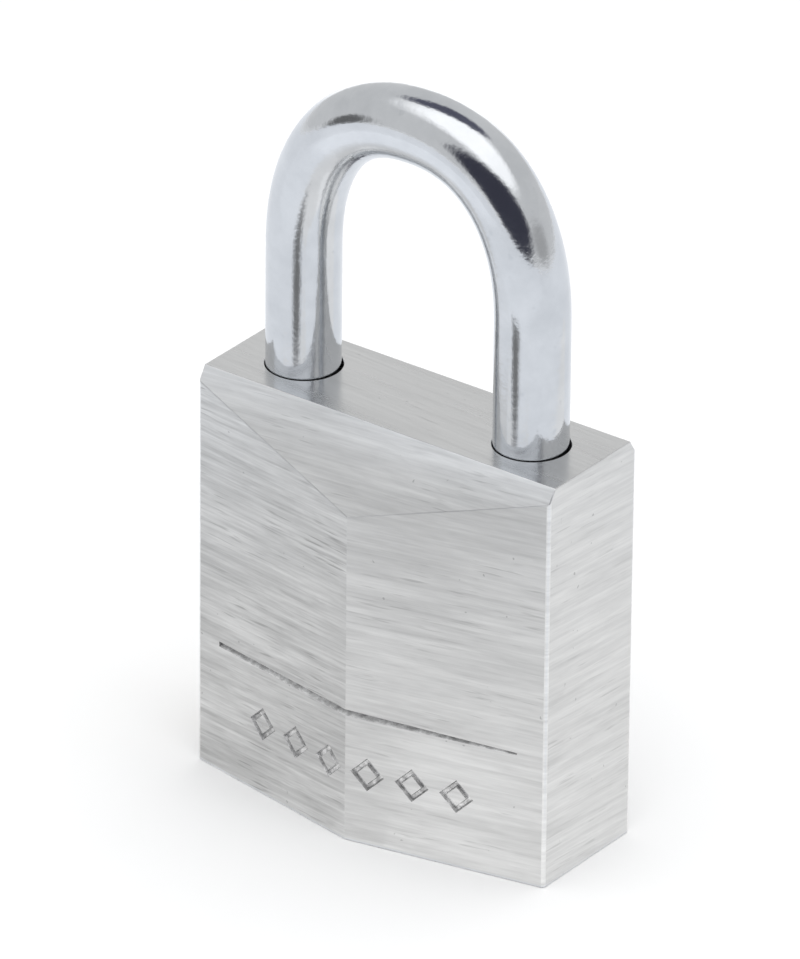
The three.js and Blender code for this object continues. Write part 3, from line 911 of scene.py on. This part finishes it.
def latch(cad_node, half_turn, material):
    """A round nose, and a flat arm that passes the cam to a hook on the cam's far side."""
    hook_inner, hook_reach, arm_inner, arm_outer = 2.65, 0.9, 2.55, 3.15
    nose_start, nose_radius, arm_half_height = 3.65, 2.0, 1.0
    pocket_radius, pocket_depth, overlap = 1.15, 2.1, 1
    place = Matrix.Translation(Z * LATCH_LEVEL * MM)
    if half_turn:
        place = place @ Matrix.Rotation(math.pi, 4, "Z")
    tip, hook_outer = latch_high.x / MM, -latch_low.x / MM
    plan = [                  # (x, y, fillet) corners of the arm and its hook
        (-hook_outer, -hook_reach, 0), (-hook_inner, -hook_reach, 0.12),
        (-hook_inner, arm_inner, 0.2), (1.6, arm_inner, 0.3), (2.0, 1.75, 0.2),
        (2.3, 1.25, 0.2), (nose_start, 1.25, 0), (nose_start, -1, 0),
        (nose_start + 1, -1, 0), (nose_start + 1, 1.6, 0), (3.1, 1.7, 0.3),
        (2.5, 2.3, 0.2), (2.1, arm_outer, 0.25), (-hook_outer, arm_outer, 0.5),
    ]
    corners = rounded(plan + plan[:1])[:-1]
    arm = prism("arm", corners, -arm_half_height, arm_half_height, place)
    bevelled(arm, width=0.08)
    nose_profile = [(0, 0, 0), (nose_radius, 0, 0.15), (nose_radius, tip - nose_start, 0.45),
                    (0, tip - nose_start, 0)]
    nose_place = place @ Matrix.Translation(X * nose_start * MM) @ facing(X)
    nose = lathe(cad_node + "_ground", nose_profile, 64, nose_place)
    pocket_profile = [(0, -overlap, 0), (pocket_radius, -overlap, 0),
                      (pocket_radius, pocket_depth, 0), (0, pocket_depth, 0)]
    pocket = lathe("cutter", pocket_profile, 32, nose_place)
    combine(nose, [arm], "UNION")
    combine(nose, [pocket])
    attach(nose, cad_node, material)


# The keyway's outline in millimetres: a slot with a ward that stands in from each long side.
KEYWAY = [
    (-3.2, -0.7), (-0.9, -0.7), (-0.5, -0.15), (0.5, -0.15), (0.9, -0.7), (2.9, -0.7),
    (2.9, 0.2), (2.2, 0.7), (0.9, 0.7), (-0.9, 0.7), (-1.4, 0.25), (-2.0, 0.25),
    (-2.4, 0.7), (-3.2, 0.7),
]
KEYWAY_TOP = 17
TANG = (2.6, 0.9)             # half length and half width of the plug's flat tail
QUARTER_TURN = Matrix.Rotation(math.pi / 2, 4, "Z")


def oblong(half_length, half_width):
    return [(-half_length, -half_width), (half_length, -half_width),
            (half_length, half_width), (-half_length, half_width)]


def cylinder_plug(material):
    """The turning plug, with two rings turned on its face, its keyway and its pin holes."""
    ring_radii, ring_depth, ring_half, ring_floor_half = (3.5, 3.9), 0.07, 0.08, 0.04
    groove_floor, groove_play, wall, overlap, tang_sunk = 3.6, 0.15, 0.4, 1, 0.5
    low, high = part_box("cylinder_plug")
    bottom, top, radius = low.z / MM, PLUG_TOP, high.x / MM
    _, _, stop_radius = span("plug_retaining_pin", -Y)
    groove_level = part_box("plug_retaining_pin")[0].z / MM + stop_radius
    groove_half = stop_radius + groove_play
    groove_low, groove_high = groove_level - groove_half, groove_level + groove_half
    rings = []
    for ring_radius in ring_radii:
        rings += [(ring_radius - ring_half, bottom, 0),
                  (ring_radius - ring_floor_half, bottom + ring_depth, 0),
                  (ring_radius + ring_floor_half, bottom + ring_depth, 0),
                  (ring_radius + ring_half, bottom, 0)]
    profile = [(0, bottom, 0)] + rings + [
        (radius, bottom, 0.3), (radius, groove_low, 0.08), (groove_floor, groove_low, 0),
        (groove_floor, groove_high, 0), (radius, groove_high, 0.08), (radius, top, 0.15),
        (0, top, 0)]
    plug = lathe("cylinder_plug_turned", profile, 96)
    tang = prism("tang", oblong(*TANG), top - tang_sunk, high.z / MM, QUARTER_TURN)
    bevelled(tang, width=0.1)
    combine(plug, [tang], "UNION")
    keyway = prism("cutter", KEYWAY, bottom - overlap, KEYWAY_TOP, QUARTER_TURN)
    holes = [hole(PIN_HOLE_RADIUS, (0, -radius, level), Y, radius - wall, mouth=0.03, sides=40)
             for level in PIN_LEVELS]
    combine(plug, [keyway] + holes)
    attach(plug, "cylinder_plug", material)


def locking_cam(material):
    """A disc that sits on the plug's tang, with a rounded blade between the latch hooks."""
    disc_top, blade_half_width, blade_half_length, end_steps = 22, 0.95, 2.3, 16
    overlap, tang_play, blade_sunk = 1, 0.3, 0.3
    low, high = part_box("locking_cam")
    bottom, top, radius = low.z / MM, high.z / MM, high.x / MM
    disc = lathe("locking_cam_milled", [
        (0, bottom, 0), (radius, bottom, 0.15), (radius, disc_top, 0.2), (0, disc_top, 0)], 96)
    centre = blade_half_length - blade_half_width
    outline = []
    for side in (-1, 1):
        for k in range(end_steps + 1):
            angle = math.pi * (k / end_steps + (1 if side < 0 else 0))
            outline.append((blade_half_width * math.cos(angle),
                            side * centre + blade_half_width * math.sin(angle)))
    blade = prism("blade", outline, disc_top - blade_sunk, top, QUARTER_TURN)
    bevelled(blade, width=0.12, angle=60)
    combine(disc, [blade], "UNION")
    half_length, half_width = TANG
    slot_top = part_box("cylinder_plug")[1].z / MM + tang_play
    slot = prism("cutter", oblong(half_length + tang_play, half_width + tang_play),
                 bottom - overlap, slot_top, QUARTER_TURN)
    combine(disc, [slot])
    attach(disc, "locking_cam", material)


def insides():
    brass_across = turned_metal("brass_across", BRASS, X, tone=0.78)
    brass_front = turned_metal("brass_front", BRASS, Y, tone=0.78)
    brass_upright = turned_metal("brass_upright", BRASS, Z, tone=0.82)
    steel_front = turned_metal("steel_front", STEEL, Y, tone=0.62)
    steel_across = turned_metal("steel_across", STEEL, X, tone=0.56, rough=0.32)
    steel_upright = turned_metal("steel_upright", STEEL, Z, tone=0.56, rough=0.32)
    plug_metal = turned_metal("aluminium_across", ALUMINIUM_TINT, X, tone=0.76, rough=0.36)
    spring_steel = spring_wire()
    cylinder_plug(brass_upright)
    locking_cam(steel_upright)
    latch("heel_latch", False, steel_across)
    latch("toe_latch", True, steel_across)
    pin("latch_bore_plug", X, 0.15, 0.2, plug_metal, sides=64)
    pin("shackle_retaining_pin", -Y, 0.18, 0.18, steel_front)
    pin("plug_retaining_pin", -Y, 0.15, 0.15, steel_front)
    for i in PIN_NUMBERS:
        key_pin(f"key_pin_{i}", Y, brass_front)
        pin(f"driver_pin_{i}", X, 0.22, 0.22, brass_across)
        pin(f"chamber_plug_{i}", X, 0.12, 0.15, brass_across)
        coil(f"pin_spring_{i}", X, PIN_SPRING, spring_steel)
    for side, way in (("heel", X), ("toe", -X)):
        stretching_coil(f"{side}_latch_spring", way, LATCH_SPRING, spring_steel, f"{side}_latch")
    stretching_coil("shackle_spring", Z, SHACKLE_SPRING, spring_steel, "shackle")


def stretching_coil(cad_node, way, spring, material, far_body):
    """A coil between the housing and the far body, fixed where it lies at rest."""
    start, length, _ = span(cad_node, way)
    ends = (("housing", far_body), start, start + way * length * MM)
    coil(cad_node, way, spring, material, ends)


# ------------ studio and camera

def direction(turn, rise):
    """A unit vector at that turn from +X towards +Y and that rise, in degrees."""
    a, b = math.radians(turn), math.radians(rise)
    return Vector((math.cos(a) * math.cos(b), math.sin(a) * math.cos(b), math.sin(b)))


COOL_WHITE = (0.955, 0.98, 1.02)
DARK_BLUE = (0.95, 0.97, 1.35)
FLOOR_TONE = 0.97
WORLD_COLOUR = (0.985, 0.99, 0.995, 1)
WORLD_STRENGTH = 0.78
LAMP_WAY = (-30, 77)          # turn and rise in degrees
LAMP_DISTANCE = 1.3
LAMP_SIDE = 1.35
LAMP_RADIANCE = 1.45

CAMERA_WAY = (-53.543, 28.151)
CAMERA_ROLL = 0.566           # degrees
CAMERA_DISTANCE = 0.9
CAMERA_AIM = Vector((-0.001346, 0, 0.024552))
CAMERA_CLIP = (0.05, 20)
SENSOR_WIDTH = 36             # millimetres, as is the lens
LENS = 489.9

SQUARE = ((-1, -1), (1, -1), (1, 1), (-1, 1))
CARD_AIM = 45                 # the height in millimetres that the cards face

# Cards that face the padlock: turn and rise in degrees, distance, width and height in metres,
# brightness, where it starts to fade (0 is its middle, 1 its rim), and tint.
CARDS = {
    "dark_front": ((-60, 20), 0.6, (1.24, 0.69), 0.058, 0.65, DARK_BLUE),
    "dark_back": ((118, 66), 0.8, (0.92, 0.42), 0.12, 0.65, DARK_BLUE),
    "grey_left": ((-139, 3), 0.7, (0.32, 0.32), 0.16, 0.4, WHITE),
    "grey_right": ((4, 8), 0.7, (0.8, 0.34), 0.52, 0.3, WHITE),
    "bright_back": ((126, -1), 0.15, (0.14, 0.08), 1.5, 0.5, WHITE),
}


def lying(height, *outline):
    """Corners of a sheet that lies at that height."""
    return [(x, y, height) for x, y in outline]


# Other sheets: corners in millimetres, brightness, where it starts to fade, tint.
CEILING = {
    "ceiling": (lying(1350, (-1300, -1250), (2100, -1250), (2100, 750), (-1300, 750)),
                1.55, 0.5, WHITE),
}
NEAR_SHEETS = {
    "shield": ([(-30, -14, 35.5), (45, -14, 35.5), (45, -14, 44), (-30, -14, 44)],
               1.06, None, COOL_WHITE),
    "dark_line": ([(-11, -36, 9), (13, -36, 9), (13, -36, 31), (-11, -36, 31)],
                  0.22, 0.25, WHITE),
    "bow_fill": (lying(46, (-17, -19), (10, -19), (10, -3.2), (-17, -3.2)),
                 1.15, 0.6, COOL_WHITE),
    "cool_floor": (lying(0.05, (-600, -600), (600, -600), (600, 600), (-600, 600)),
                   1.02, None, COOL_WHITE),
    "left_floor": (lying(0.2, (-62, -20), (-36, -56), (1, -6), (-14, 1)), 0.81, None, WHITE),
    "front_floor": (lying(0.2, (-36, -60), (40, -60), (22, -4), (-1, -7)), 0.95, None, WHITE),
    "near_floor": (lying(0.3, (1, -24), (30, -24), (22, -4), (3, -7)), 1.1, None, WHITE),
    "corner_floor": (lying(0.3, (-34, -24), (-15, -14), (-13, -2), (-34, -2)), 1.0, 0.3, WHITE),
    "side_floor": (lying(0.2, (14, -5), (70, 0), (70, 80), (14, 30)), 1.03, None, WHITE),
}


def plane(name, corners):
    """A flat sheet through four corners in metres."""
    mesh = bpy.data.meshes.new(name)
    mesh.from_pydata([tuple(p) for p in corners], [], [(0, 1, 2, 3)])
    return new_piece(name, mesh)


def placed(origin, way):
    """A matrix that turns local +Z to that way, with local +Y upward, and moves to origin."""
    return Matrix.Translation(origin) @ way.to_track_quat("Z", "Y").to_matrix().to_4x4()


def studio_floor():
    reach = 3.0
    ground = plane("floor", [(x * reach, y * reach, 0) for x, y in SQUARE])
    material = bpy.data.materials.new("floor")
    material.use_nodes = True
    shader = material.node_tree.nodes["Principled BSDF"]
    shader.inputs["Base Color"].default_value = grey(FLOOR_TONE)
    shader.inputs["Roughness"].default_value = 0.9
    shader.inputs["Specular IOR Level"].default_value = 0
    ground.data.materials.append(material)


def glowing(name, value, core, tint):
    """An even glow, or one that fades from its core to the sheet's oval rim."""
    material = bpy.data.materials.new(name)
    material.use_nodes = True
    tree = material.node_tree
    tree.nodes.clear()
    glow = node(tree, "Emission", {"Color": grey(value, tint), "Strength": 1.0}).outputs[0]
    if core is not None:
        spot = node(tree, "UVMap", uv_map="square").outputs[0]
        spread = node(tree, "VectorMath", {0: spot}, operation="LENGTH").outputs["Value"]
        solid = remap(tree, spread, core, 1.0, to_low=1.0, to_high=0.0,
                      interpolation_type="SMOOTHSTEP")
        clear = node(tree, "BsdfTransparent").outputs[0]
        glow = node(tree, "MixShader", {0: solid, 1: clear, 2: glow}).outputs[0]
    node(tree, "OutputMaterial", {"Surface": glow})
    return material


def reflected_sheet(name, corners, value, core, tint):
    """A sheet that only shows in reflections; its corners are in metres."""
    sheet = plane(name, corners)
    square = sheet.data.uv_layers.new(name="square")
    for loop, uv in zip(square.data, SQUARE):
        loop.uv = uv
    sheet.data.materials.append(glowing(name, value, core, tint))
    sheet.visible_camera = False
    sheet.visible_diffuse = False
    sheet.visible_shadow = False


def sheets(table):
    for name, (corners, *look) in table.items():
        reflected_sheet(name, [Vector(c) * MM for c in corners], *look)


def cards():
    for name, (angles, distance, (width, height), *look) in CARDS.items():
        way = direction(*angles)
        place = placed(Z * CARD_AIM * MM + way * distance, -way)
        corners = [place @ Vector((x * width / 2, y * height / 2, 0)) for x, y in SQUARE]
        reflected_sheet(name, corners, *look)


def studio():
    world = bpy.data.worlds.new("studio")
    world.use_nodes = True
    background = world.node_tree.nodes["Background"]
    background.inputs["Color"].default_value = WORLD_COLOUR
    background.inputs["Strength"].default_value = WORLD_STRENGTH
    bpy.context.scene.world = world
    bpy.context.scene.view_settings.view_transform = "Standard"
    studio_floor()
    light = bpy.data.lights.new("lamp", "AREA")
    light.shape = "RECTANGLE"
    light.size = light.size_y = LAMP_SIDE
    light.energy = LAMP_RADIANCE * math.pi * LAMP_SIDE * LAMP_SIDE
    lamp = new_piece("lamp", light)
    middle = Vector((0, 0, (cad_box[0].z + cad_box[1].z) / 2))
    way = direction(*LAMP_WAY)
    lamp.matrix_world = placed(middle + way * LAMP_DISTANCE, way)
    lamp.visible_glossy = False
    sheets(CEILING)
    cards()
    sheets(NEAR_SHEETS)


def camera():
    """Looks down at the front right corner from far off, with a long lens."""
    back = direction(*CAMERA_WAY)
    right = Matrix.Rotation(math.radians(CAMERA_ROLL), 3, back) @ Z.cross(back).normalized()
    turn = Matrix((right, back.cross(right), back)).transposed().to_4x4()
    lens = bpy.data.cameras.new("camera")
    lens.sensor_width = SENSOR_WIDTH
    lens.lens = LENS
    lens.clip_start, lens.clip_end = CAMERA_CLIP
    eye = new_piece("camera", lens)
    eye.matrix_world = Matrix.Translation(CAMERA_AIM + back * CAMERA_DISTANCE) @ turn
    bpy.context.scene.camera = eye


camera()
studio()
body_shell()
shackle_bar()
insides()
